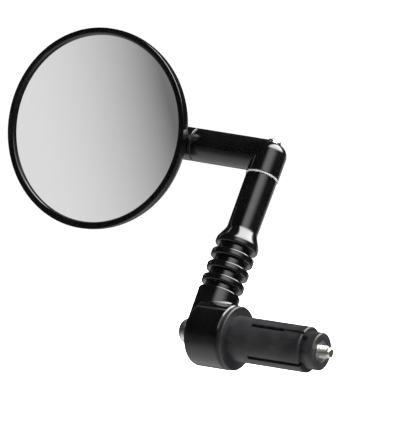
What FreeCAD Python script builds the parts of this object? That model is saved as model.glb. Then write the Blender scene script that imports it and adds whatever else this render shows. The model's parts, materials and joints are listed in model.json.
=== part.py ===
"""A bicycle mirror that is held in the end of a handlebar by an expander plug.

Millimetres. +X runs along the handlebar towards its middle, +Z is up and -Y is towards the rider.
The origin is the centre of the plug's seat, where its flange meets the end of the bar.
Three swivels share the work: the post turns about the bar, the elbow about the post, the head about the arm.
"""

import FreeCAD
import Part
import math
import os

Vector = FreeCAD.Vector
Placement = FreeCAD.Placement
Rotation = FreeCAD.Rotation
ORIGIN = Vector(0, 0, 0)
X_AXIS = Vector(1, 0, 0)
Y_AXIS = Vector(0, 1, 0)
Z_AXIS = Vector(0, 0, 1)

# How the three swivels are set at rest, in degrees
POST_LEAN = 22.8
ELBOW_TURN = 4.8
HEAD_TILT = 22.2

# Fits
RUNNING = 0.06
TOUCH = 0.03
EDGE = 0.4

# Share of a quarter oval's side that its Bezier pole takes
ROUNDNESS = 0.5523

# Expander plug: along is counted from the seat, into the bar
PLUG_RADIUS = 8.8
PLUG_LENGTH = 32.0
FLANGE_RADIUS = 12.4
FLANGE_THICKNESS = 1.7
SLIT_WIDTH = 1.6
SLIT_START = 9.0
SLIT_ANGLE = 45.0
TAPER_START = 16.0
TAPER_START_RADIUS = 4.0
TAPER_END_RADIUS = 6.9
CONE_START = 19.0
CONE_TAPER_END = 34.0
CONE_END = 37.4
KEY_RADIUS = 8.2
KEY_WIDTH = 1.4

# Threaded parts
BOLT_RADIUS = 2.5
BOLT_LENGTH = 64.0
BOLT_HEAD = {"radius": 4.75, "height": 2.75, "socket": 3.0, "depth": 1.6}
NUT_FLATS = 8.0
NUT_THICKNESS = 4.0
SCREW_RADIUS = 1.5
SCREW_HEAD = {"radius": 2.85, "height": 1.65, "socket": 2.0, "depth": 1.1}
ELBOW_SCREW_LENGTH = 25.0
HEAD_SCREW_LENGTH = 55.0
INSERT_RADIUS = 2.5
INSERT_LENGTH = 8.0
INSERT_DEPTH = 0.3

# Barrel at the foot of the post
BASE_WASHER = 0.4
BARREL_RADIUS = 12.6
BARREL_LENGTH = 17.4
BARREL_CROWN = 4.0
BARREL_FLAT = 2.6
COLUMN_FILLET = 1.0
BARREL_CORE = {"inner": 5.4, "outer": 10.2, "depth": 11.0}
BOLT_SEAT_X = -21.65
BOLT_SEAT_RADIUS = 5.3
BOLT_WASHER = {"radius": 5.0, "thickness": 0.8}

# Post: heights are counted from the bar's axis, along the post
POST_OFFSET = 13.05
POST_REACH = 76.65
FOOT_RADIUS = 8.15
FOOT_TOP_RADIUS = 8.4
FOOT_TOP = 17.5
RIB_COUNT = 3
RIB_RADIUS = 8.5
RIB_FIRST = 19.5
RIB_PITCH = 5.55
RIB_THICKNESS = 3.1
RIB_ROUND = 0.9
GROOVE_RADIUS = 6.6
SHOULDER_LAND = 1.9
NECK_HEIGHT = 44.3
NECK_RADIUS = 6.15
POST_TOP_RADIUS = 6.3
POST_CORE_FLOOR = 24.0

# Elbow: heights are counted from the arm's axis
ARM_RADIUS = 6.6
KNUCKLE_TOP = 5.4
KNUCKLE_ROUND = 4.8
KNUCKLE_FOOT = 8.8
SWIVEL_WASHER = {"radius": 6.65, "thickness": 0.6}
SCREW_SEAT_RADIUS = 3.3
SCREW_SEAT_HEIGHT = 4.2
FLAT_WASHER = {"radius": 3.1, "thickness": 0.5}
SPRING_WASHER = {"radius": 2.8, "thickness": 0.35, "rise": 0.25}
ARM_LENGTH = 32.1
ARM_CORE_START = 9.0
HEAD_WASHER = {"radius": 6.4, "thickness": 0.6}

# Head: depths are counted back from the rim's front plane
HEAD_REACH = 72.95
HEAD_OFFSET = 12.0
RIM_RADIUS = 40.15
RIM_ROUND = 0.3
RIM_BELLY = 1.8
LIP_RADIUS = 37.3
LIP_ROUND = 1.2
LIP_DEPTH = 1.36
SKIRT_RADIUS = 38.3
SKIRT_DEPTH = 5.1
SKIRT_OUTER = 39.5
SEAM = 0.15
GLASS_RADIUS = 38.1
GLASS_THICKNESS = 2.0
GLASS_CURVE = 500.0
GLASS_SET_BACK = 0.05
GASKET_INNER = 35.0
GASKET_FRONT = 3.55
LEDGE_DEPTH = 4.3
SHELL_DEPTH = 8.2
SHELL_WALL = 1.9
CAVITY_STEP = 0.4
BOSS_RADIUS = 6.6
BOSS_PAST_CENTRE = 4.0
BOSS_ROUND = 2.5
BOSS_SEAT_DEPTH = 0.6
WEB_WIDTH = 9.0


def flat(point):
    """A point of an outline, (along, radius), in the plane that is spun about Z."""
    along, radius = point
    return Vector(radius, 0, along)


def turned(start, *steps):
    """Spins a closed outline about Z.

    A step is a point to draw a line to, a (way, end) pair for an arc through a way point,
    or (pole, pole, end) for a smooth curve.
    """
    edges = []
    here = start
    for step in [*steps, start]:
        if not isinstance(step[0], tuple):
            there = step
            edges.append(Part.makeLine(flat(here), flat(there)))
        elif len(step) == 2:
            there = step[1]
            edges.append(Part.Arc(flat(here), flat(step[0]), flat(there)).toShape())
        else:
            there = step[-1]
            curve = Part.BezierCurve()
            curve.setPoles([flat(here), *[flat(pole) for pole in step]])
            edges.append(curve.toShape())
        here = there
    return Part.Face(Part.Wire(edges)).revolve(ORIGIN, Z_AXIS, 360)


def quarter(along, out, radius, way_along, way_out):
    """The way point of a quarter round about (along, out), towards the given signs."""
    reach = radius * math.sqrt(0.5)
    return (along + way_along * reach, out + way_out * reach)


def along_x(shape):
    """Lays a shape that was made along Z along +X."""
    return shape.rotated(ORIGIN, Y_AXIS, 90)


def along_minus_x(shape):
    """Lays a shape that was made along Z along -X."""
    return shape.rotated(ORIGIN, Y_AXIS, -90)


def cylinder(radius, bottom, top):
    return Part.makeCylinder(radius, top - bottom, Vector(0, 0, bottom))


def hexagon(flats, bottom, top):
    """A hexagonal prism about Z, with the given distance across its flats."""
    corner = flats / math.sqrt(3)
    points = []
    for turn in range(7):
        angle = math.radians(60 * turn)
        points.append(Vector(corner * math.cos(angle), corner * math.sin(angle), bottom))
    return Part.Face(Part.makePolygon(points)).extrude(Vector(0, 0, top - bottom))


def ring(outer, inner, thickness, edge=0.1):
    """A flat washer that stands on Z = 0, with its outer corners broken."""
    return turned(
        (0, inner),
        (0, outer - edge),
        (edge, outer),
        (thickness - edge, outer),
        (thickness, outer - edge),
        (thickness, inner),
    )


def spring_ring():
    """A coned spring washer that stands on Z = 0 and is highest at its hole."""
    outer = SPRING_WASHER["radius"]
    inner = SCREW_RADIUS + RUNNING
    thickness = SPRING_WASHER["thickness"]
    rise = SPRING_WASHER["rise"]
    return turned((0, outer), (thickness, outer), (thickness + rise, inner), (rise, inner))


def button_screw(radius, length, head):
    """A screw along Z: its head stands on Z = 0 and its shank hangs below."""
    top = head["height"]
    wide = head["radius"]
    body = turned(
        (top, 0),
        (top, 0.5 * wide),
        ((0.8 * top, 0.82 * wide), (0.3 * top, wide)),
        (0, wide),
        (0, radius),
        (-length + 0.5, radius),
        (-length, radius - 0.5),
        (-length, 0),
    )
    return body.cut(hexagon(head["socket"], top - head["depth"], top + 1))


def insert():
    """A round threaded insert that hangs below Z = 0."""
    return ring(INSERT_RADIUS, SCREW_RADIUS + TOUCH, INSERT_LENGTH, 0.3).translated(
        Vector(0, 0, -INSERT_LENGTH)
    )


def taper_radius(along):
    """The radius of the plug's conical socket at a distance from the seat."""
    slope = (TAPER_END_RADIUS - TAPER_START_RADIUS) / (PLUG_LENGTH - TAPER_START)
    return TAPER_START_RADIUS + slope * (along - TAPER_START)


# Plug: these parts are made about Z, which is then laid along the bar


def expander_sleeve():
    bore = BOLT_RADIUS + RUNNING
    body = turned(
        (-FLANGE_THICKNESS, bore),
        (-FLANGE_THICKNESS, FLANGE_RADIUS - EDGE),
        (EDGE - FLANGE_THICKNESS, FLANGE_RADIUS),
        (-EDGE, FLANGE_RADIUS),
        (0, FLANGE_RADIUS - EDGE),
        (0, PLUG_RADIUS),
        (PLUG_LENGTH - EDGE, PLUG_RADIUS),
        (PLUG_LENGTH, PLUG_RADIUS - EDGE),
        (PLUG_LENGTH, TAPER_END_RADIUS),
        (TAPER_START, TAPER_START_RADIUS),
        (TAPER_START, bore),
    )
    across = 2 * PLUG_RADIUS + 2
    slit = Part.makeBox(
        across,
        SLIT_WIDTH,
        PLUG_LENGTH,
        Vector(-across / 2, -SLIT_WIDTH / 2, SLIT_START),
    )
    for angle in (SLIT_ANGLE, SLIT_ANGLE + 90):
        body = body.cut(slit.rotated(ORIGIN, Z_AXIS, angle))
    return along_x(body)


def wedge_cone():
    bore = BOLT_RADIUS + RUNNING
    land = taper_radius(CONE_TAPER_END)
    body = turned(
        (CONE_START, bore),
        (CONE_START, taper_radius(CONE_START) - TOUCH),
        (CONE_TAPER_END, land - TOUCH),
        (CONE_END - EDGE, land - TOUCH),
        (CONE_END, land - TOUCH - EDGE),
        (CONE_END, bore),
    )
    key_start = CONE_START + 4
    key = Part.makeBox(
        2 * KEY_RADIUS,
        KEY_WIDTH,
        CONE_TAPER_END - key_start,
        Vector(-KEY_RADIUS, -KEY_WIDTH / 2, key_start),
    )
    key = key.common(cylinder(KEY_RADIUS, key_start, CONE_TAPER_END))
    key = key.cut(cylinder(BOLT_RADIUS + 1, key_start, CONE_TAPER_END))
    body = body.fuse(key.rotated(ORIGIN, Z_AXIS, SLIT_ANGLE))
    body = body.cut(hexagon(NUT_FLATS + 2 * TOUCH, CONE_END - NUT_THICKNESS, CONE_END + 1))
    return along_x(body.removeSplitter())


def wedge_nut():
    bottom = CONE_END - NUT_THICKNESS + TOUCH
    body = hexagon(NUT_FLATS, bottom, CONE_END - 0.2)
    return along_x(body.cut(cylinder(BOLT_RADIUS + RUNNING, bottom - 1, CONE_END + 1)))


# Stack along the bar, outboard of the seat
BARREL_FACE = -FLANGE_THICKNESS - BASE_WASHER
BOLT_HEAD_SEAT = BOLT_SEAT_X - BOLT_WASHER["thickness"]
POST_X = BARREL_FACE - POST_OFFSET


def mount_bolt():
    body = along_minus_x(button_screw(BOLT_RADIUS, BOLT_LENGTH, BOLT_HEAD))
    return body.translated(Vector(BOLT_HEAD_SEAT, 0, 0))


def base_washer():
    body = ring(FLANGE_RADIUS - 0.1, BOLT_RADIUS + RUNNING, BASE_WASHER - TOUCH)
    return along_x(body).translated(Vector(BARREL_FACE, 0, 0))


def bolt_washer():
    body = ring(BOLT_WASHER["radius"], BOLT_RADIUS + RUNNING, BOLT_WASHER["thickness"] - TOUCH)
    return along_minus_x(body).translated(Vector(BOLT_SEAT_X, 0, 0))


# Post: these parts are made with the post along Z, over the bar's axis


def rib_steps(bottom, top):
    """The outline of one rib, from the groove below it to the groove above it."""
    return [
        (bottom, GROOVE_RADIUS),
        (bottom, RIB_RADIUS - RIB_ROUND),
        (
            quarter(bottom + RIB_ROUND, RIB_RADIUS - RIB_ROUND, RIB_ROUND, -1, 1),
            (bottom + RIB_ROUND, RIB_RADIUS),
        ),
        (top - RIB_ROUND, RIB_RADIUS),
        (
            quarter(top - RIB_ROUND, RIB_RADIUS - RIB_ROUND, RIB_ROUND, 1, 1),
            (top, RIB_RADIUS - RIB_ROUND),
        ),
        (top, GROOVE_RADIUS),
    ]


def post_column():
    """The round column: foot, ribs, shoulder and neck, with a domed lower end inside the barrel."""
    top = POST_REACH - KNUCKLE_FOOT - SWIVEL_WASHER["thickness"]
    steps = [
        (quarter(0, 0, FOOT_RADIUS, -1, 1), (0, FOOT_RADIUS)),
        (FOOT_TOP - RIB_ROUND, FOOT_TOP_RADIUS),
        (
            quarter(FOOT_TOP - RIB_ROUND, FOOT_TOP_RADIUS - RIB_ROUND, RIB_ROUND, 1, 1),
            (FOOT_TOP, FOOT_TOP_RADIUS - RIB_ROUND),
        ),
        (FOOT_TOP, GROOVE_RADIUS),
    ]
    for number in range(RIB_COUNT):
        bottom = RIB_FIRST + number * RIB_PITCH
        steps += rib_steps(bottom, bottom + RIB_THICKNESS)
    shoulder = RIB_FIRST + RIB_COUNT * RIB_PITCH
    steps += rib_steps(shoulder, shoulder + RIB_THICKNESS)[:3]
    land = shoulder + SHOULDER_LAND
    steps += [
        (land, RIB_RADIUS),
        (
            (land + 1.5, RIB_RADIUS - 0.05),
            (NECK_HEIGHT - 2.2, NECK_RADIUS + 0.1),
            (NECK_HEIGHT, NECK_RADIUS),
        ),
        (top - EDGE, POST_TOP_RADIUS),
        (top, POST_TOP_RADIUS - EDGE),
        (top, 0),
    ]
    return turned((-FOOT_RADIUS, 0), *steps).translated(Vector(POST_X, 0, 0))


def barrel():
    """The short barrel that turns about the bar, with a crowned outboard end."""
    crown = BARREL_LENGTH - BARREL_CROWN
    fall = BARREL_RADIUS - BARREL_FLAT
    body = turned(
        (0, 0),
        (0, BARREL_RADIUS - EDGE),
        (EDGE, BARREL_RADIUS),
        (crown, BARREL_RADIUS),
        (
            (crown + ROUNDNESS * BARREL_CROWN, BARREL_RADIUS),
            (BARREL_LENGTH, BARREL_FLAT + ROUNDNESS * fall),
            (BARREL_LENGTH, BARREL_FLAT),
        ),
        (BARREL_LENGTH, 0),
    )
    return along_minus_x(body).translated(Vector(BARREL_FACE, 0, 0))


def column_seam(shape):
    """The curved edges where the column leaves the upper half of the barrel."""
    curved = [edge for edge in shape.Edges if isinstance(edge.Curve, Part.BSplineCurve)]
    return [edge for edge in curved if edge.BoundBox.ZMin > COLUMN_FILLET]


def ribbed_post():
    body = barrel().fuse(post_column()).removeSplitter()
    body = body.makeFillet(COLUMN_FILLET, column_seam(body))
    core = ring(BARREL_CORE["outer"], BARREL_CORE["inner"], BARREL_CORE["depth"], 1.0)
    body = body.cut(along_minus_x(core).translated(Vector(BARREL_FACE, 0, 0)))
    bore = cylinder(BOLT_RADIUS + RUNNING, -40, 40)
    seat = cylinder(BOLT_SEAT_RADIUS, 0, 10)
    body = body.cut(along_x(bore))
    body = body.cut(along_minus_x(seat).translated(Vector(BOLT_SEAT_X, 0, 0)))
    post_core = cylinder(INSERT_RADIUS + TOUCH, POST_CORE_FLOOR, POST_REACH)
    return body.cut(post_core.translated(Vector(POST_X, 0, 0)))


# Elbow: these parts are made with the elbow's centre at the origin, the post along Z and the arm along -X


def elbow_arm():
    knuckle = turned(
        (-KNUCKLE_FOOT + TOUCH, 0),
        (-KNUCKLE_FOOT + TOUCH, ARM_RADIUS - 0.25),
        (-KNUCKLE_FOOT + TOUCH + 0.25, ARM_RADIUS),
        (KNUCKLE_TOP - KNUCKLE_ROUND, ARM_RADIUS),
        (
            quarter(KNUCKLE_TOP - KNUCKLE_ROUND, ARM_RADIUS - KNUCKLE_ROUND, KNUCKLE_ROUND, 1, 1),
            (KNUCKLE_TOP, ARM_RADIUS - KNUCKLE_ROUND),
        ),
        (KNUCKLE_TOP, 0),
    )
    tube = turned(
        (0, 0),
        (0, ARM_RADIUS),
        (ARM_LENGTH - 0.3, ARM_RADIUS),
        (ARM_LENGTH, ARM_RADIUS - 0.3),
        (ARM_LENGTH, 0),
    )
    body = knuckle.fuse(along_minus_x(tube)).removeSplitter()
    body = body.cut(cylinder(SCREW_SEAT_RADIUS, SCREW_SEAT_HEIGHT, 20))
    body = body.cut(cylinder(SCREW_RADIUS + RUNNING, -20, 20))
    core = cylinder(INSERT_RADIUS + TOUCH, ARM_CORE_START, ARM_LENGTH + 1)
    return body.cut(along_minus_x(core))


def swivel_washer():
    body = ring(
        SWIVEL_WASHER["radius"], SCREW_RADIUS + RUNNING, SWIVEL_WASHER["thickness"] - TOUCH, 0.15
    )
    return body.translated(Vector(0, 0, -KNUCKLE_FOOT - SWIVEL_WASHER["thickness"]))


def post_insert():
    top = -KNUCKLE_FOOT - SWIVEL_WASHER["thickness"] - INSERT_DEPTH
    return insert().translated(Vector(0, 0, top))


def screw_stack():
    """The flat washer, spring washer and screw that stand on a seat at Z = 0."""
    flat_height = FLAT_WASHER["thickness"]
    spring_height = SPRING_WASHER["thickness"] + SPRING_WASHER["rise"]
    washer = ring(FLAT_WASHER["radius"], SCREW_RADIUS + RUNNING, flat_height - TOUCH)
    spring = spring_ring().translated(Vector(0, 0, flat_height))
    return washer, spring, flat_height + spring_height + TOUCH


def elbow_screw():
    washer, spring, height = screw_stack()
    lift = Vector(0, 0, SCREW_SEAT_HEIGHT + TOUCH)
    screw = button_screw(SCREW_RADIUS, ELBOW_SCREW_LENGTH, SCREW_HEAD)
    screw = screw.translated(Vector(0, 0, height))
    return [piece.translated(lift) for piece in (screw, washer, spring)]


def arm_insert():
    body = insert().translated(Vector(0, 0, ARM_LENGTH - INSERT_DEPTH))
    return along_minus_x(body)


def head_washer():
    body = ring(HEAD_WASHER["radius"], SCREW_RADIUS + RUNNING, HEAD_WASHER["thickness"] - TOUCH)
    return along_minus_x(body).translated(Vector(-ARM_LENGTH, 0, 0))


def head_screw():
    washer, spring, height = screw_stack()
    lift = Vector(0, 0, HEAD_REACH + BOSS_PAST_CENTRE - BOSS_SEAT_DEPTH + TOUCH)
    screw = button_screw(SCREW_RADIUS, HEAD_SCREW_LENGTH, SCREW_HEAD)
    screw = screw.translated(Vector(0, 0, height))
    return [along_minus_x(piece.translated(lift)) for piece in (screw, washer, spring)]


# Head: these parts are made about Z, which points out of the glass, with the rim's front plane at Z = 0


def rim_curve(share):
    """A point on the round that leads from the rim's widest ring back to the seam."""
    run = SKIRT_DEPTH - RIM_BELLY
    fall = RIM_RADIUS - SKIRT_OUTER
    radius = (run**2 + fall**2) / (2 * fall)
    angle = share * math.asin(run / radius)
    return (-RIM_BELLY - radius * math.sin(angle), RIM_RADIUS - radius * (1 - math.cos(angle)))


def head_bezel():
    back = -SKIRT_DEPTH + TOUCH
    return turned(
        (back, SKIRT_RADIUS),
        (back, SKIRT_OUTER - SEAM),
        (back + SEAM, SKIRT_OUTER + 0.6 * SEAM),
        (rim_curve(0.5), (-RIM_BELLY, RIM_RADIUS)),
        (-RIM_ROUND, RIM_RADIUS),
        (
            quarter(-RIM_ROUND, RIM_RADIUS - RIM_ROUND, RIM_ROUND, 1, 1),
            (0, RIM_RADIUS - RIM_ROUND),
        ),
        (0, LIP_RADIUS + LIP_ROUND),
        (
            quarter(-LIP_ROUND, LIP_RADIUS + LIP_ROUND, LIP_ROUND, 1, -1),
            (-LIP_ROUND, LIP_RADIUS),
        ),
        (-LIP_DEPTH, LIP_RADIUS),
        (-LIP_DEPTH, SKIRT_RADIUS),
    )


def glass_drop(radius):
    """How far the ball-shaped front of the glass has fallen back at a radius."""
    return GLASS_CURVE - math.sqrt(GLASS_CURVE**2 - radius**2)


def mirror_glass():
    half = GLASS_RADIUS / 2
    front = -GLASS_SET_BACK
    back = front - GLASS_THICKNESS
    edge = front - glass_drop(GLASS_RADIUS)
    return turned(
        (front, 0),
        ((front - glass_drop(half), half), (edge, GLASS_RADIUS)),
        (edge - GLASS_THICKNESS, GLASS_RADIUS),
        ((back - glass_drop(half), half), (back, 0)),
    )


def glass_gasket():
    body = ring(GLASS_RADIUS, GASKET_INNER, LEDGE_DEPTH - GASKET_FRONT - TOUCH, 0.1)
    return body.translated(Vector(0, 0, -LEDGE_DEPTH))


def shell_dome():
    """The shallow dome behind the glass, with a spigot for the bezel and a ledge for the gasket."""
    cavity_edge = -LEDGE_DEPTH - CAVITY_STEP
    floor = -SHELL_DEPTH + SHELL_WALL
    return turned(
        (-LEDGE_DEPTH, GASKET_INNER),
        (-LEDGE_DEPTH, SKIRT_RADIUS - TOUCH),
        (-SKIRT_DEPTH, SKIRT_RADIUS - TOUCH),
        (-SKIRT_DEPTH, SKIRT_OUTER - SEAM),
        (-SKIRT_DEPTH - SEAM, SKIRT_OUTER - 0.6 * SEAM),
        ((-SKIRT_DEPTH - 2.0, SKIRT_OUTER - 1.5), (-SHELL_DEPTH, 0.68 * RIM_RADIUS), (-SHELL_DEPTH, 0)),
        (floor, 0),
        ((floor, 0.6 * GASKET_INNER), (cavity_edge - 0.6, GASKET_INNER), (cavity_edge, GASKET_INNER)),
    )


def head_shell():
    """The dome, and the boss across its back that the arm's screw runs through."""
    start = HEAD_REACH - ARM_LENGTH - HEAD_WASHER["thickness"] - TOUCH
    length = start + BOSS_PAST_CENTRE
    boss = turned(
        (0, 0),
        (0, BOSS_RADIUS - 0.2),
        (0.2, BOSS_RADIUS),
        (length - BOSS_ROUND, BOSS_RADIUS),
        (
            quarter(length - BOSS_ROUND, BOSS_RADIUS - BOSS_ROUND, BOSS_ROUND, 1, 1),
            (length, BOSS_RADIUS - BOSS_ROUND),
        ),
        (length, 0),
    )
    boss = along_minus_x(boss).translated(Vector(start, 0, -HEAD_OFFSET))
    web_start = BOSS_ROUND - BOSS_PAST_CENTRE
    web_end = SKIRT_OUTER - 1.2
    corners = [
        Vector(web_start, -WEB_WIDTH / 2, -HEAD_OFFSET),
        Vector(web_end, -WEB_WIDTH / 2, -HEAD_OFFSET),
        Vector(web_end, -WEB_WIDTH / 2, -SKIRT_DEPTH - 0.3),
        Vector(GASKET_INNER - 5, -WEB_WIDTH / 2, -SKIRT_DEPTH - 0.6),
        Vector(web_start, -WEB_WIDTH / 2, -SHELL_DEPTH + SHELL_WALL / 2),
    ]
    web = Part.Face(Part.makePolygon([*corners, corners[0]])).extrude(Vector(0, WEB_WIDTH, 0))
    body = shell_dome().fuse(boss).fuse(web).removeSplitter()
    bore = along_x(cylinder(SCREW_RADIUS + RUNNING, -60, 60)).translated(Vector(0, 0, -HEAD_OFFSET))
    seat = along_minus_x(cylinder(SCREW_SEAT_RADIUS, 0, BOSS_SEAT_DEPTH + 1))
    seat = seat.translated(Vector(BOSS_SEAT_DEPTH - BOSS_PAST_CENTRE, 0, -HEAD_OFFSET))
    return body.cut(bore).cut(seat)


# Placing: each group of parts is carried from its own frame to the mirror's frame

LEAN = Placement(ORIGIN, Rotation(X_AXIS, -POST_LEAN))
ELBOW = LEAN * Placement(Vector(POST_X, 0, POST_REACH), Rotation(Z_AXIS, ELBOW_TURN))
TILTED = ELBOW * Placement(ORIGIN, Rotation(X_AXIS, HEAD_TILT))
GLASS = TILTED * Placement(Vector(-HEAD_REACH, -HEAD_OFFSET, 0), Rotation(X_AXIS, 90))
BAR = Placement()


def save(name, shape, place):
    """Writes one part in place, after testing that it is a sound closed solid."""
    shape = shape.copy()
    shape.Placement = place * shape.Placement
    solids = shape.Solids
    if not solids or not shape.isValid():
        raise RuntimeError(name + " is not a sound solid")
    solid = solids[0] if len(solids) == 1 else Part.makeCompound(solids)
    solid.exportStep(os.path.join("parts", name + ".step"))
    print(f"{name:18s} solids {len(solids)} volume {shape.Volume:9.1f}")


def main():
    os.makedirs("parts", exist_ok=True)
    elbow_pieces = elbow_screw()
    head_pieces = head_screw()
    save("expander_sleeve", expander_sleeve(), BAR)
    save("wedge_cone", wedge_cone(), BAR)
    save("wedge_nut", wedge_nut(), BAR)
    save("mount_bolt", mount_bolt(), BAR)
    save("base_washer", base_washer(), LEAN)
    save("bolt_washer", bolt_washer(), LEAN)
    save("ribbed_post", ribbed_post(), LEAN)
    save("swivel_washer", swivel_washer(), ELBOW)
    save("post_insert", post_insert(), ELBOW)
    save("elbow_screw", elbow_pieces[0], ELBOW)
    save("elbow_flat_washer", elbow_pieces[1], ELBOW)
    save("elbow_spring_washer", elbow_pieces[2], ELBOW)
    save("elbow_arm", elbow_arm(), ELBOW)
    save("arm_insert", arm_insert(), ELBOW)
    save("head_washer", head_washer(), ELBOW)
    save("head_screw", head_pieces[0], ELBOW)
    save("head_flat_washer", head_pieces[1], ELBOW)
    save("head_spring_washer", head_pieces[2], ELBOW)
    save("head_shell", head_shell(), GLASS)
    save("head_bezel", head_bezel(), GLASS)
    save("mirror_glass", mirror_glass(), GLASS)
    save("glass_gasket", glass_gasket(), GLASS)


main()
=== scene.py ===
# %% [markdown]
# # A bicycle mirror for the end of a handlebar
# The real object is a round convex mirror on a short arm. The arm swivels on a ribbed post, the post
# turns about the handlebar, and an expander plug holds the whole thing in the bar's open end. The
# frame already holds every piece at its true size and place. This script gives the pieces their
# finishes, and replaces a few of them with finer shapes: the glass, the mounting bolt and the two
# small screws.

import json
import math

import bmesh
import bpy
from mathutils import Matrix, Vector


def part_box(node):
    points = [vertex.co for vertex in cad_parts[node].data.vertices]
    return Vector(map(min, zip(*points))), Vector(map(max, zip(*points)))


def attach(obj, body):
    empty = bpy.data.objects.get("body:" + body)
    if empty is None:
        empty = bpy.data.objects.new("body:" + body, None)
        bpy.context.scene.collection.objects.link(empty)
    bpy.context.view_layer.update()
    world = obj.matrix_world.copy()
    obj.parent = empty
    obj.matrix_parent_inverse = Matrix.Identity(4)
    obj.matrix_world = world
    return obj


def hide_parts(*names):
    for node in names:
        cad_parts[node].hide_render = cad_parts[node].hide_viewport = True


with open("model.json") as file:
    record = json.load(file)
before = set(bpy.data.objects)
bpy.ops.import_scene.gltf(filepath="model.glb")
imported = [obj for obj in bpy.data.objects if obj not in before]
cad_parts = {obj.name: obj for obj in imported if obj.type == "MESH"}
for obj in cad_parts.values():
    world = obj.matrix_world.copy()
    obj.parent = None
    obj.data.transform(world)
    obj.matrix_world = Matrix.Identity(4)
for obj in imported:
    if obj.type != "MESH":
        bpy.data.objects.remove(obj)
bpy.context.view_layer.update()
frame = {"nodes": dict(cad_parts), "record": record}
MM = 0.001

# %% [markdown]
# ## The camera
# The view is from the rider's side, a little inboard of the mirror and nearly level with it. A long
# lens far away keeps the parts in proportion. The camera is rolled, because the handlebar slopes in
# the view.

# %% Camera
CAMERA_AZIMUTH = math.radians(32.55)
CAMERA_ELEVATION = math.radians(0.44)
CAMERA_ROLL = math.radians(7.46)
CAMERA_DISTANCE = 1400 * MM
CAMERA_TARGET = Vector((-21.18, 0, 45.89)) * MM
CAMERA_LENS = 307.9
CAMERA_SENSOR = 36
CAMERA_REACH = 20


def camera_back():
    """The direction from the target towards the camera."""
    return Vector((
        math.sin(CAMERA_AZIMUTH) * math.cos(CAMERA_ELEVATION),
        -math.cos(CAMERA_AZIMUTH) * math.cos(CAMERA_ELEVATION),
        math.sin(CAMERA_ELEVATION),
    ))


def make_camera():
    """A camera that looks at the target, turned about its own line of sight."""
    back = camera_back()
    right = Vector((math.cos(CAMERA_AZIMUTH), math.sin(CAMERA_AZIMUTH), 0))
    up = back.cross(right)
    turn = Matrix.Rotation(CAMERA_ROLL, 3, back)
    basis = Matrix((turn @ right, turn @ up, back)).transposed().to_4x4()
    camera = bpy.data.objects.new("camera", bpy.data.cameras.new("camera"))
    camera.data.lens = CAMERA_LENS
    camera.data.sensor_width = CAMERA_SENSOR
    camera.data.clip_end = CAMERA_REACH
    camera.matrix_world = Matrix.Translation(CAMERA_TARGET + CAMERA_DISTANCE * back) @ basis
    bpy.context.scene.collection.objects.link(camera)
    bpy.context.scene.camera = camera
    return camera


camera = make_camera()
bpy.context.scene.view_settings.view_transform = "Standard"
print("camera at", [round(value, 3) for value in camera.location])

# %% [markdown]
# ## Shader sums
# A material is a small graph of nodes. Writing the sums as Python expressions keeps them readable:
# this class wraps one socket of a graph, and each operator on it adds one Math node and returns its
# result.

# %% A helper for node graphs
class Value:
    """One socket of a node graph, with the arithmetic that the finishes use."""

    def __init__(self, graph, socket):
        self.graph = graph
        self.socket = socket

    def math(self, operation, *inputs):
        numbered = dict(enumerate(inputs))
        return self.graph.node("ShaderNodeMath", {"operation": operation}, numbered)

    def __add__(self, other):
        return self.math("ADD", self, other)

    def __radd__(self, other):
        return self.math("ADD", other, self)

    def __sub__(self, other):
        return self.math("SUBTRACT", self, other)

    def __rsub__(self, other):
        return self.math("SUBTRACT", other, self)

    def __mul__(self, other):
        return self.math("MULTIPLY", self, other)

    def __rmul__(self, other):
        return self.math("MULTIPLY", other, self)

    def most(self, other):
        """Whichever of the two is larger."""
        return self.math("MAXIMUM", self, other)

    def clamp(self):
        return self.math("MINIMUM", self.most(0.0), 1.0)

    def ramp(self, start, stop, low=0.0, high=1.0):
        """A smooth step from low to high as the value goes from start to stop."""
        settings = {"interpolation_type": "SMOOTHSTEP"}
        inputs = {"Value": self, "From Min": start, "From Max": stop, "To Min": low, "To Max": high}
        return self.graph.node("ShaderNodeMapRange", settings, inputs)


class Graph:
    """A node tree, and the one method that adds a node to it."""

    def __init__(self, tree):
        self.tree = tree
        tree.nodes.clear()

    def node(self, kind, settings=None, inputs=None, output=0):
        made = self.tree.nodes.new(kind)
        for name, setting in (settings or {}).items():
            setattr(made, name, setting)
        for key, given in (inputs or {}).items():
            if isinstance(given, Value):
                self.tree.links.new(given.socket, made.inputs[key])
            else:
                made.inputs[key].default_value = given
        return Value(self, made.outputs[output])

    def place(self, output="Object"):
        return self.node("ShaderNodeTexCoord", output=output)

    def noise(self, place, scale, detail, roughness):
        inputs = {"Vector": place, "Scale": scale, "Detail": detail, "Roughness": roughness}
        return self.node("ShaderNodeTexNoise", {"noise_dimensions": "3D"}, inputs)

    def stretched(self, place, scale, turn=(0, 0, 0)):
        """Coordinates that are turned and then scaled, for streaks and brushed lines."""
        inputs = {"Vector": place, "Rotation": turn, "Scale": scale}
        return self.node("ShaderNodeMapping", {"vector_type": "TEXTURE"}, inputs)

    def blend(self, factor, first, second):
        settings = {"data_type": "RGBA"}
        return self.node("ShaderNodeMix", settings, {"Factor": factor, 6: first, 7: second}, 2)

    def bump(self, height, strength, distance, normal=None):
        inputs = {"Height": height, "Strength": strength, "Distance": distance}
        if normal is not None:
            inputs["Normal"] = normal
        return self.node("ShaderNodeBump", None, inputs)

    def close(self, shader, kind="ShaderNodeOutputMaterial"):
        """Sends the finished shader to the graph's output."""
        output = self.tree.nodes.new(kind)
        self.tree.links.new(shader.socket, output.inputs["Surface"])


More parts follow.
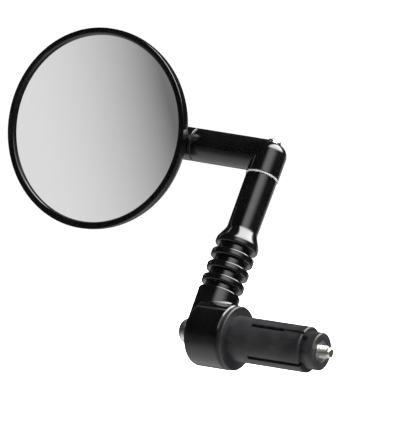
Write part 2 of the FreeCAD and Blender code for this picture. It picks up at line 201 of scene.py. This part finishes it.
# %% [markdown]
# ## The studio
# Glossy black plastic shows hardly any colour of its own: what the eye reads is the studio, mirrored
# in it. A set of lamps would do, but a background that depends on direction puts each reflection
# where it is wanted. A dim tall soft box gives the grey streak down the post. A bright panel overhead
# gives the white patches on the flare and the knuckle, and the pale floor greys the undersides. Seen
# directly, it is plain white. Every pair of numbers here is where a soft edge starts and where it
# ends.

# %% The soft boxes and the floor, as directions
POST_LEAN = math.radians(22.8)
POST_AXIS = Vector((0, math.sin(POST_LEAN), math.cos(POST_LEAN)))
SEEN_WHITE = 1.05
DARK = 0.03
FLOOR_NEAR = 1.25
FLOOR_FAR = 0.16
FLOOR_FADE = (0.02, -0.24)
FLOOR_DEPTH = (-0.30, -0.90)
BACKDROP = 0.6
BACKDROP_DEPTH = (0.93, 0.995)
BACKDROP_HEIGHT = (0.16, 0.06)
BOX_STRENGTH = 3.3
BOX_RISE = (0.02, 0.2)
BOX_LEFT = (math.radians(-32), math.radians(-6))
BOX_RIGHT = (math.radians(54), math.radians(6))
PANEL_STRENGTH = 15.0
PANEL_RISE = (0.60, 0.74)
PANEL_ASIDE = (-0.05, 0.10)
PANEL_DEPTH = (0.80, 0.64)


def reflected(normal):
    """The direction that a surface with this normal mirrors to the camera."""
    back = camera_back()
    return 2 * normal.dot(back) * normal - back


def streak_frame():
    """Two directions square to the post: towards the streak's middle, and round to the right of it."""
    back = camera_back()
    square = (back - back.dot(POST_AXIS) * POST_AXIS).normalized()
    towards = reflected(square)
    towards = (towards - towards.dot(POST_AXIS) * POST_AXIS).normalized()
    return towards, POST_AXIS.cross(towards)


def along(graph, direction, axis):
    """How far a direction or a place reaches along an axis."""
    inputs = {0: direction, 1: tuple(axis)}
    return graph.node("ShaderNodeVectorMath", {"operation": "DOT_PRODUCT"}, inputs, "Value")


def studio_light(graph):
    """The strength of the studio's light in every direction, as glossy surfaces see it."""
    direction = graph.place("Generated")
    height = along(graph, direction, (0, 0, 1))
    depth = along(graph, direction, (0, 1, 0))
    aside = along(graph, direction, (1, 0, 0))
    towards, across = streak_frame()
    front = along(graph, direction, towards)
    side = along(graph, direction, across)
    turn = front.math("ARCTAN2", side, front)
    rise = along(graph, direction, POST_AXIS)
    box = turn.ramp(*BOX_LEFT) * turn.ramp(*BOX_RIGHT) * rise.ramp(*BOX_RISE) * BOX_STRENGTH
    overhead = rise.ramp(*PANEL_RISE) * aside.ramp(*PANEL_ASIDE) * depth.ramp(*PANEL_DEPTH)
    panel = overhead * PANEL_STRENGTH
    floor = height.ramp(*FLOOR_DEPTH, FLOOR_FAR, FLOOR_NEAR) * height.ramp(*FLOOR_FADE)
    behind = depth.ramp(*BACKDROP_DEPTH) * height.ramp(*BACKDROP_HEIGHT) * BACKDROP
    return box.most(panel) + floor.most(behind) + DARK


print("streak comes from", [round(value, 3) for value in streak_frame()[0]])

# %% [markdown]
# The glass is a perfect mirror, so whatever it faces is seen sharply in it. It faces a plain wall
# that falls from light grey at the left to a darker grey at the right, and a dim room beyond. Rays
# that come from a perfectly sharp mirror are told apart by the Light Path node, which lets that wall
# be seen in the glass alone.

# %% The wall that the glass faces
WALL_LIGHT = 0.75
WALL_START = 0.56
WALL_WIDTH = 0.36
WALL_SLOPE = (1, 0, 0.42)
WALL_FALL = 0.3
ROOM_DARK = 0.10
ROOM_LIGHT = 0.50
ROOM_HEIGHT = (-0.2, 0.9)
WORLD_MAP = 1024


def glass_wall(graph):
    """A wall that only the glass mirrors: light to its left, and falling to a dim room on its right."""
    direction = graph.place("Generated")
    slope = along(graph, direction, WALL_SLOPE)
    reach = ((slope + WALL_START) * (1.0 / WALL_WIDTH)).clamp()
    square = reach * reach
    lit = (1.0 - square - WALL_FALL * square * square * square) * WALL_LIGHT
    room = along(graph, direction, (0, 0, 1)).ramp(*ROOM_HEIGHT, ROOM_DARK, ROOM_LIGHT)
    return lit.most(room)


def make_world():
    world = bpy.data.worlds.new("studio")
    world.use_nodes = True
    bpy.context.scene.world = world
    graph = Graph(world.node_tree)
    seen = graph.node("ShaderNodeLightPath", output="Is Camera Ray")
    sharp = graph.node("ShaderNodeLightPath", output="Is Singular Ray")
    light = studio_light(graph)
    light = light + sharp * (glass_wall(graph) - light)
    light = light + seen * (SEEN_WHITE - light)
    background = graph.node("ShaderNodeBackground", None, {"Color": (1, 1, 1, 1), "Strength": light})
    graph.close(background, "ShaderNodeOutputWorld")
    world.cycles.sampling_method = "MANUAL"
    world.cycles.sample_map_resolution = WORLD_MAP
    return world


world = make_world()
print("studio nodes", len(world.node_tree.nodes))

# %% [markdown]
# The floor is one plain sheet, wide enough to end out of sight. It gives off the background's own
# white, so no horizon shows. Glossy surfaces look past it to the floor drawn in the background.

# %% The floor
FLOOR_DROP = 62 * MM
FLOOR_SIDE = 8.0
FLOOR_COLOUR = (0.8, 0.8, 0.8, 1)
FLOOR_ROUGHNESS = 0.9


def make_floor():
    """A plain pale floor under the object, lit to the same white as the background."""
    mesh = bpy.data.meshes.new("floor")
    shape = bmesh.new()
    bmesh.ops.create_grid(shape, x_segments=1, y_segments=1, size=FLOOR_SIDE / 2)
    bmesh.ops.translate(shape, verts=shape.verts, vec=(0, 0, -FLOOR_DROP))
    shape.to_mesh(mesh)
    shape.free()
    floor = bpy.data.objects.new("floor", mesh)
    bpy.context.scene.collection.objects.link(floor)
    material = bpy.data.materials.new("pale_floor")
    material.use_nodes = True
    graph = Graph(material.node_tree)
    inputs = {
        "Base Color": FLOOR_COLOUR,
        "Roughness": FLOOR_ROUGHNESS,
        "Emission Color": (1, 1, 1, 1),
        "Emission Strength": SEEN_WHITE,
    }
    graph.close(graph.node("ShaderNodeBsdfPrincipled", None, inputs))
    mesh.materials.append(material)
    floor.visible_glossy = False
    return floor


floor = make_floor()
print("floor side", round(floor.dimensions.x, 2))

# %% [markdown]
# ## Finishes
# Each finish is one material. A moulded or turned surface is never quite even, so each has a slow
# change of roughness and a fine texture in its bump. Images could carry these, but noise needs no
# image and no unwrapping. Patterns are laid in object coordinates, whose unit is the metre, so a
# scale of 1000 is about a millimetre wide. Each noise below is named once, by its scale, its detail
# and its roughness.

# %% What the finishes share
MICRON = 0.001 * MM
WIPE_DETAIL = (2.0, 0.6)
WIPE_SCALE = 260.0


def finish_graph(name):
    material = bpy.data.materials.new(name)
    material.use_nodes = True
    return material, Graph(material.node_tree)


def coated(material, graph, inputs):
    """Closes a finish that is one principled shader."""
    graph.close(graph.node("ShaderNodeBsdfPrincipled", None, inputs))
    return material


def wipe_marks(graph, place, scale=WIPE_SCALE):
    """Thin, nearly parallel lines, as a dry cloth leaves on a glossy part: 1 on a line and 0 elsewhere."""
    first = graph.noise(graph.stretched(place, (0.06, 1.0, 1.0), (0.3, 0.5, 0.2)), scale, *WIPE_DETAIL)
    second = graph.noise(graph.stretched(place, (1.0, 0.08, 1.0), (1.1, 0.2, 0.9)), scale, *WIPE_DETAIL)
    return first.ramp(0.66, 0.74) * 0.7 + second.ramp(0.68, 0.76) * 0.5


# %% [markdown]
# **Gloss black plastic.** The post, the arm and the head are moulded in a polished mould. The plastic
# is almost black. Its gloss is broken by a very shallow ripple, by slow patches that are a little
# duller, and by fine wipe marks, so the reflected soft box has a slightly uneven edge.

# %% Gloss black plastic
GLOSS_BLACK_DEEP = (0.0010, 0.0010, 0.0012, 1)
GLOSS_BLACK_PALE = (0.0024, 0.0024, 0.0026, 1)
GLOSS_PATCHES = (90.0, 3.0, 0.55)
GLOSS_GRAIN = (2600.0, 2.0, 0.6)
GLOSS_RIPPLE = (420.0, 2.0, 0.5)
GLOSS_ROUGHNESS = (0.085, 0.155)
PLASTIC_IOR = 1.5


def gloss_black():
    material, graph = finish_graph("moulded_gloss_black")
    place = graph.place()
    patches = graph.noise(place, *GLOSS_PATCHES)
    grain = graph.noise(place, *GLOSS_GRAIN)
    ripple = graph.noise(place, *GLOSS_RIPPLE)
    marks = wipe_marks(graph, place)
    colour = graph.blend(patches.ramp(0.3, 0.7), GLOSS_BLACK_DEEP, GLOSS_BLACK_PALE)
    roughness = (patches.ramp(0.3, 0.75, *GLOSS_ROUGHNESS) + marks * 0.10 + grain * 0.03).clamp()
    fine = graph.bump(grain, 0.25, 6 * MICRON)
    normal = graph.bump(ripple, 0.35, 20 * MICRON, fine)
    inputs = {"Base Color": colour, "Roughness": roughness, "Normal": normal, "IOR": PLASTIC_IOR}
    return coated(material, graph, inputs)


# %% [markdown]
# **Satin black plastic.** The plug and the parts that rub on it are glass-filled nylon, from a mould
# with a spark-eroded face: dull, with a fine even pebble and a greyer bloom where it has rubbed in
# the bar.

# %% Satin black plastic
SATIN_DEEP = (0.006, 0.006, 0.007, 1)
SATIN_PALE = (0.012, 0.012, 0.013, 1)
SATIN_RUBBED = (0.03, 0.03, 0.03, 1)
SATIN_PATCHES = (120.0, 4.0, 0.6)
SATIN_PEBBLE = (3600.0, 2.0, 0.7)
SATIN_RUB = (900.0, 2.0, 0.6)
SATIN_SPECULAR = 0.3


def satin_black():
    material, graph = finish_graph("satin_black_nylon")
    place = graph.place()
    patches = graph.noise(place, *SATIN_PATCHES)
    pebble = graph.noise(place, *SATIN_PEBBLE)
    rub = graph.noise(graph.stretched(place, (8.0, 1.0, 1.0)), *SATIN_RUB).ramp(0.60, 0.74)
    colour = graph.blend(patches.ramp(0.35, 0.7), SATIN_DEEP, SATIN_PALE)
    colour = graph.blend(rub * 0.5, colour, SATIN_RUBBED)
    roughness = (patches.ramp(0.3, 0.7, 0.42, 0.56) - rub * 0.08).clamp()
    normal = graph.bump(pebble, 0.6, 20 * MICRON)
    inputs = {"Base Color": colour, "Roughness": roughness, "Normal": normal}
    inputs["Specular IOR Level"] = SATIN_SPECULAR
    return coated(material, graph, inputs)


# %% [markdown]
# **Metals.** The bolt is zinc plated, the small screws and washers are stainless, and the inserts are
# brass. All are turned, so fine lines run across an axis. One function makes all three from a colour
# and a roughness.

# %% Turned metal
BAR_AXIS = (1, 0, 0)
ZINC = ((0.50, 0.49, 0.46, 1), (0.66, 0.65, 0.62, 1), 0.26)
STEEL = ((0.60, 0.60, 0.60, 1), (0.75, 0.75, 0.75, 1), 0.18)
BRASS = ((0.60, 0.42, 0.17, 1), (0.75, 0.55, 0.25, 1), 0.22)
LATHE_WANDER = (500.0, 2.0, 0.5)
LATHE_PHASE = 30000.0
LATHE_DRIFT = 6.0
METAL_CLOUD = (700.0, 4.0, 0.6)
METAL_SPREAD = 0.12


def turned_metal(name, dark, light, roughness, axis):
    """A metal with lathe lines round the given axis."""
    material, graph = finish_graph(name)
    place = graph.place()
    distance = along(graph, place, axis)
    phase = distance * LATHE_PHASE + graph.noise(place, *LATHE_WANDER) * LATHE_DRIFT
    lines = phase.math("SINE", phase)
    cloud = graph.noise(place, *METAL_CLOUD)
    colour = graph.blend(cloud.ramp(0.3, 0.7), dark, light)
    dull = (cloud.ramp(0.3, 0.7, roughness, roughness + METAL_SPREAD) + lines * 0.03).clamp()
    normal = graph.bump(lines, 0.15, 4 * MICRON)
    inputs = {"Base Color": colour, "Metallic": 1.0, "Roughness": dull, "Normal": normal}
    return coated(material, graph, inputs)


# %% [markdown]
# **Nylon and foam.** The pale swivel washer under the knuckle is undyed nylon, smooth and a little
# uneven. Real nylon lets some light in, but on a washer this thin a plain surface looks the same and
# is simpler. The ring behind the glass is black foam rubber with open pores.

# %% Nylon and foam
NYLON_DEEP = (0.19, 0.19, 0.18, 1)
NYLON_PALE = (0.27, 0.27, 0.25, 1)
NYLON_CLOUD = (300.0, 3.0, 0.6)
NYLON_GRAIN = (3000.0, 2.0, 0.6)
FOAM_DEEP = (0.008, 0.008, 0.008, 1)
FOAM_PALE = (0.035, 0.035, 0.035, 1)
FOAM_PORES = (2200.0, 3.0, 0.7)


def pale_nylon():
    material, graph = finish_graph("natural_nylon")
    place = graph.place()
    cloud = graph.noise(place, *NYLON_CLOUD)
    colour = graph.blend(cloud.ramp(0.35, 0.65), NYLON_DEEP, NYLON_PALE)
    roughness = cloud.ramp(0.3, 0.7, 0.32, 0.45)
    normal = graph.bump(graph.noise(place, *NYLON_GRAIN), 0.3, 10 * MICRON)
    inputs = {"Base Color": colour, "Roughness": roughness, "Normal": normal}
    return coated(material, graph, inputs)


def foam_rubber():
    material, graph = finish_graph("foam_rubber")
    place = graph.place()
    pores = graph.noise(place, *FOAM_PORES)
    colour = graph.blend(pores.ramp(0.45, 0.6), FOAM_DEEP, FOAM_PALE)
    normal = graph.bump(pores, 0.8, 100 * MICRON)
    inputs = {"Base Color": colour, "Roughness": pores.ramp(0.3, 0.7, 0.75, 0.95), "Normal": normal}
    return coated(material, graph, inputs)


# %% [markdown]
# **Glass.** The real glass is silvered on its back and painted over the silver. Clear glass over a
# mirror could be drawn as such, but it adds little to the look, so here the front face itself is the
# silver. A thin film of dust and wiped grease, mixed in by a factor that varies, keeps it from being
# quite even. Its edge is ground.

# %% Silvered glass, its ground edge and its painted back
SILVER = (0.93, 0.935, 0.93, 1)
DUST = (0.5, 0.5, 0.49, 1)
DUST_ROUGHNESS = 0.6
GLASS_CLOUD = (60.0, 4.0, 0.6)
GLASS_SPECKS = (1500.0, 2.0, 0.5)
GLASS_WIPES = 160.0
GROUND_DEEP = (0.50, 0.50, 0.36, 1)
GROUND_PALE = (0.80, 0.80, 0.64, 1)
GROUND_FROST = (2500.0, 3.0, 0.6)
PAINT_DEEP = (0.05, 0.055, 0.06, 1)
PAINT_PALE = (0.09, 0.095, 0.10, 1)
PAINT_CLOUD = (400.0, 4.0, 0.6)


def silvered_glass():
    """A perfect mirror with a very thin uneven film of dust and wiped grease over it."""
    material, graph = finish_graph("silvered_glass")
    place = graph.place()
    cloud = graph.noise(place, *GLASS_CLOUD)
    specks = graph.noise(place, *GLASS_SPECKS).ramp(0.70, 0.78)
    wipes = wipe_marks(graph, place, GLASS_WIPES)
    film = (cloud.ramp(0.45, 0.8) * 0.02 + specks * 0.05 + wipes * 0.015).clamp()
    bare = {"Base Color": SILVER, "Metallic": 1.0, "Roughness": 0.0}
    mirror = graph.node("ShaderNodeBsdfPrincipled", None, bare)
    dusty = {"Base Color": DUST, "Roughness": DUST_ROUGHNESS}
    dust = graph.node("ShaderNodeBsdfPrincipled", None, dusty)
    graph.close(graph.node("ShaderNodeMixShader", None, {0: film, 1: mirror, 2: dust}))
    return material


def ground_glass():
    material, graph = finish_graph("ground_glass_edge")
    place = graph.place()
    frost = graph.noise(place, *GROUND_FROST)
    colour = graph.blend(frost.ramp(0.35, 0.65), GROUND_DEEP, GROUND_PALE)
    normal = graph.bump(frost, 0.4, 20 * MICRON)
    inputs = {"Base Color": colour, "Roughness": frost.ramp(0.3, 0.7, 0.2, 0.4), "Normal": normal}
    return coated(material, graph, inputs)


def backing_paint():
    material, graph = finish_graph("backing_paint")
    place = graph.place()
    cloud = graph.noise(place, *PAINT_CLOUD)
    colour = graph.blend(cloud.ramp(0.35, 0.65), PAINT_DEEP, PAINT_PALE)
    normal = graph.bump(cloud, 0.3, 30 * MICRON)
    inputs = {"Base Color": colour, "Roughness": cloud.ramp(0.3, 0.7, 0.5, 0.7), "Normal": normal}
    return coated(material, graph, inputs)


finishes = {
    "gloss_black": gloss_black(),
    "satin_black": satin_black(),
    "zinc_steel": turned_metal("zinc_plate", *ZINC, BAR_AXIS),
    "stainless": turned_metal("stainless_steel", *STEEL, POST_AXIS),
    "brass": turned_metal("turned_brass", *BRASS, POST_AXIS),
    "white_nylon": pale_nylon(),
    "black_rubber": foam_rubber(),
}
print("finishes", sorted(finishes))


# %% [markdown]
# ## The CAD's own pieces
# The mouldings are exact in the CAD model already, with their flares, ribs and seams. Building them
# again would gain nothing, so they stay as they are and only take the finishes. The record says which
# material slot each piece has.

# %% Finishes on the CAD pieces
slots = {row["node"]: row["material_slot"] for row in frame["record"]["subparts"]}
for name, node in frame["nodes"].items():
    finish = finishes.get(slots[name])
    if finish is not None:
        for held in node.material_slots:
            held.material = finish
print("dressed", len(slots), "pieces")

# %% [markdown]
# ## Placing new pieces
# The post's lean, the elbow's turn and the head's tilt set where the pieces stand. A new piece is
# made about its own axis in millimetres, and one matrix then carries its mesh to its place, so its
# object stays at the origin.

# %% Places in the frame
ELBOW_TURN = math.radians(4.8)
HEAD_TILT = math.radians(22.2)
POST_X = -15.15
POST_REACH = 76.65
HEAD_REACH = 72.95
HEAD_OFFSET = 12.0
QUARTER = math.radians(90)

leaned = Matrix.Rotation(-POST_LEAN, 4, "X")
elbow = leaned @ Matrix.Translation((POST_X, 0, POST_REACH)) @ Matrix.Rotation(ELBOW_TURN, 4, "Z")
tilted = elbow @ Matrix.Rotation(HEAD_TILT, 4, "X")
face = tilted @ Matrix.Translation((-HEAD_REACH, -HEAD_OFFSET, 0)) @ Matrix.Rotation(QUARTER, 4, "X")
to_metres = Matrix.Scale(MM, 4)
print("glass faces", [round(value, 3) for value in face.to_3x3() @ Vector((0, 0, 1))])


# %% [markdown]
# The glass and the screws are round, so each is a section spun about its own axis. The CAD's mesh
# could have been cut up instead, but a spun section has clean rings, and takes a broken edge or a
# thread with ease.

# %% Spinning a profile
SHARP_ANGLE = math.radians(32)
WELD = 0.0005


def spun(profile, steps):
    """A bmesh of revolution about Z from (radius, height) points, closed at its poles."""
    shape = bmesh.new()
    verts = [shape.verts.new((radius, 0, height)) for radius, height in profile]
    edges = [shape.edges.new(pair) for pair in zip(verts, verts[1:])]
    bmesh.ops.spin(
        shape, geom=verts + edges, cent=(0, 0, 0), axis=(0, 0, 1), angle=2 * math.pi,
        steps=steps, use_merge=True, use_duplicate=False,
    )
    bmesh.ops.remove_doubles(shape, verts=shape.verts, dist=WELD)
    return shape


def piece(name, shape, place, body, replaced, materials):
    """Carries a finished shape to its place, hides the CAD piece that it stands in for, and hangs it on
    its body.
    """
    bmesh.ops.transform(shape, matrix=to_metres @ place, verts=shape.verts)
    bmesh.ops.recalc_face_normals(shape, faces=shape.faces)
    mesh = bpy.data.meshes.new(name)
    shape.to_mesh(mesh)
    shape.free()
    mesh.shade_smooth()
    mesh.set_sharp_from_angle(angle=SHARP_ANGLE)
    for material in materials:
        mesh.materials.append(material)
    made = bpy.data.objects.new(name, mesh)
    bpy.context.scene.collection.objects.link(made)
    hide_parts(replaced)
    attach(made, body)
    size = [round(value / MM, 1) for value in made.dimensions]
    print(name, "size", size, "faces", len(mesh.polygons))
    return made


# %% [markdown]
# ## The glass
# The mirror is a thin dish of glass, cut from a ball about a metre across. Its edge is ground and its
# corners are broken; the edge lies under the rim's lip. It is spun from its section, with many rings
# so that its ball shape mirrors smoothly, and its faces are shared out between the silver, the ground
# edge and the paint.

# %% Make the glass
GLASS_RADIUS = 38.1
GLASS_CURVE = 500.0
GLASS_SET_BACK = 0.05
GLASS_THICKNESS = 2.0
GLASS_ARRIS = 0.45
GLASS_BACK_ARRIS = 0.2
GLASS_RINGS = 40
GLASS_STEPS = 192


def glass_height(radius):
    """How high the glass's front is at a radius, from the rim's front plane."""
    return -GLASS_SET_BACK - GLASS_CURVE + math.sqrt(GLASS_CURVE**2 - radius**2)


def glass_section():
    inner = GLASS_RADIUS - GLASS_ARRIS
    rings = [inner * number / GLASS_RINGS for number in range(GLASS_RINGS + 1)]
    front = [(radius, glass_height(radius)) for radius in rings]
    corner = glass_height(GLASS_RADIUS)
    bottom = corner - GLASS_THICKNESS + GLASS_BACK_ARRIS
    edge = [(GLASS_RADIUS, corner - GLASS_ARRIS), (GLASS_RADIUS, bottom)]
    back = [(radius, glass_height(radius) - GLASS_THICKNESS) for radius in reversed(rings)]
    return front + edge + back


def make_glass():
    shape = spun(glass_section(), GLASS_STEPS)
    bmesh.ops.recalc_face_normals(shape, faces=shape.faces)
    for polygon in shape.faces:
        reach = polygon.calc_center_median().xy.length
        if reach > GLASS_RADIUS - GLASS_ARRIS:
            polygon.material_index = 1
        elif polygon.normal.z < 0:
            polygon.material_index = 2
    looks = [silvered_glass(), ground_glass(), backing_paint()]
    return piece("mirror_dish", shape, face, "mirror_head", "mirror_glass", looks)


make_glass()

# %% [markdown]
# ## The screws
# The CAD screws have a domed head with a hexagon socket, on a plain shank. The real ones have a
# rounder shoulder and a rolled thread. The thread is shallow and fine, so it is drawn as rings in the
# spun section, where a true helix would cost many faces for no gain. The socket starts as a ring of
# points pulled out to a hexagon, bridged to the head and pushed down.

# %% Make a button head screw
SOCKET_SIDES = 6
HEAD_STEPS = 48
DOME_STEPS = 8
CROWN_SHARE = 0.56
SHOULDER_SHARE = 0.25
HEAD_EDGE = 0.12
THREAD_DEPTH = 0.61
CREST_END = 0.12
ROOT_START = 0.5
ROOT_END = 0.62
RUN_OUT = 0.3
THREAD_END = 0.7
TIP_START = 0.6
TIP_BREAK = 0.4


def thread_section(radius, depth, pitch, start, stop):
    """Points of a thread's section from start down to stop."""
    points = []
    height = start
    while height - pitch > stop:
        points += [(radius, height), (radius, height - CREST_END * pitch)]
        points += [(radius - depth, height - share * pitch) for share in (ROOT_START, ROOT_END)]
        height -= pitch
    return points


def hexagon_reach(angle, flats):
    """How far a hexagon's side is from its centre in one direction."""
    side = 2 * math.pi / SOCKET_SIDES
    return 0.5 * flats / math.cos((angle % side) - side / 2)


def button_screw(radius, pitch, length, threaded, head):
    """A screw about Z whose head stands on Z = 0."""
    top = head["height"]
    wide = head["radius"]
    crown = CROWN_SHARE * wide
    shoulder = SHOULDER_SHARE * top
    dome = []
    for step in range(DOME_STEPS + 1):
        angle = QUARTER * step / DOME_STEPS
        reach = crown + (wide - crown) * math.sin(angle)
        dome.append((reach, shoulder + (top - shoulder) * math.cos(angle)))
    depth = THREAD_DEPTH * pitch
    thread = thread_section(radius, depth, pitch, threaded - length, THREAD_END - length)
    root = radius - depth
    tip = [(root, TIP_START - length), (root - TIP_BREAK, -length), (0, -length)]
    under = [(wide, HEAD_EDGE), (wide - HEAD_EDGE, 0), (radius, 0)]
    shank = [(radius, threaded - length + RUN_OUT)]
    shape = spun(dome + under + shank + thread + tip, HEAD_STEPS)
    rim = [edge for edge in shape.edges if edge.is_boundary]
    socket = bmesh.ops.create_circle(shape, segments=HEAD_STEPS, radius=1.0, cap_ends=False)["verts"]
    for vert in socket:
        angle = math.atan2(vert.co.y, vert.co.x)
        reach = hexagon_reach(angle, head["socket"])
        vert.co = (reach * math.cos(angle), reach * math.sin(angle), top)
    loop = list({edge for vert in socket for edge in vert.link_edges})
    bmesh.ops.bridge_loops(shape, edges=rim + loop)
    sunk = bmesh.ops.extrude_edge_only(shape, edges=loop)["geom"]
    bottom = [item for item in sunk if isinstance(item, bmesh.types.BMVert)]
    bmesh.ops.translate(shape, verts=bottom, vec=(0, 0, -head["depth"]))
    floor_loop = [item for item in sunk if isinstance(item, bmesh.types.BMEdge)]
    bmesh.ops.contextual_create(shape, geom=floor_loop)
    return shape


# %% Make the three screws
BOLT_HEAD = {"radius": 4.75, "height": 2.75, "socket": 3.0, "depth": 1.6}
SMALL_HEAD = {"radius": 2.85, "height": 1.65, "socket": 2.0, "depth": 1.1}
BOLT = {"radius": 2.5, "pitch": 0.8, "length": 64.0, "threaded": 30.0, "head": BOLT_HEAD}
ELBOW_SCREW = {"radius": 1.5, "pitch": 0.5, "length": 25.0, "threaded": 16.0, "head": SMALL_HEAD}
HEAD_SCREW = {"radius": 1.5, "pitch": 0.5, "length": 55.0, "threaded": 16.0, "head": SMALL_HEAD}
ELBOW_SCREW_SEAT = 5.36
HEAD_SCREW_SEAT = 77.51

outwards = Matrix.Rotation(-QUARTER, 4, "Y")
bolt_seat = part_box("mount_bolt")[0][0] / MM + BOLT_HEAD["height"]
bolt_place = Matrix.Translation((bolt_seat, 0, 0)) @ outwards
elbow_place = elbow @ Matrix.Translation((0, 0, ELBOW_SCREW_SEAT))
head_place = elbow @ Matrix.Translation((-HEAD_SCREW_SEAT, 0, 0)) @ outwards
zinc = [finishes["zinc_steel"]]
steel = [finishes["stainless"]]

bolt = button_screw(**BOLT)
piece("plug_bolt", bolt, bolt_place, "bolt", "mount_bolt", zinc)
elbow_screw = button_screw(**ELBOW_SCREW)
piece("elbow_button_screw", elbow_screw, elbow_place, "post", "elbow_screw", steel)
head_screw = button_screw(**HEAD_SCREW)
piece("head_button_screw", head_screw, head_place, "swing_arm", "head_screw", steel)
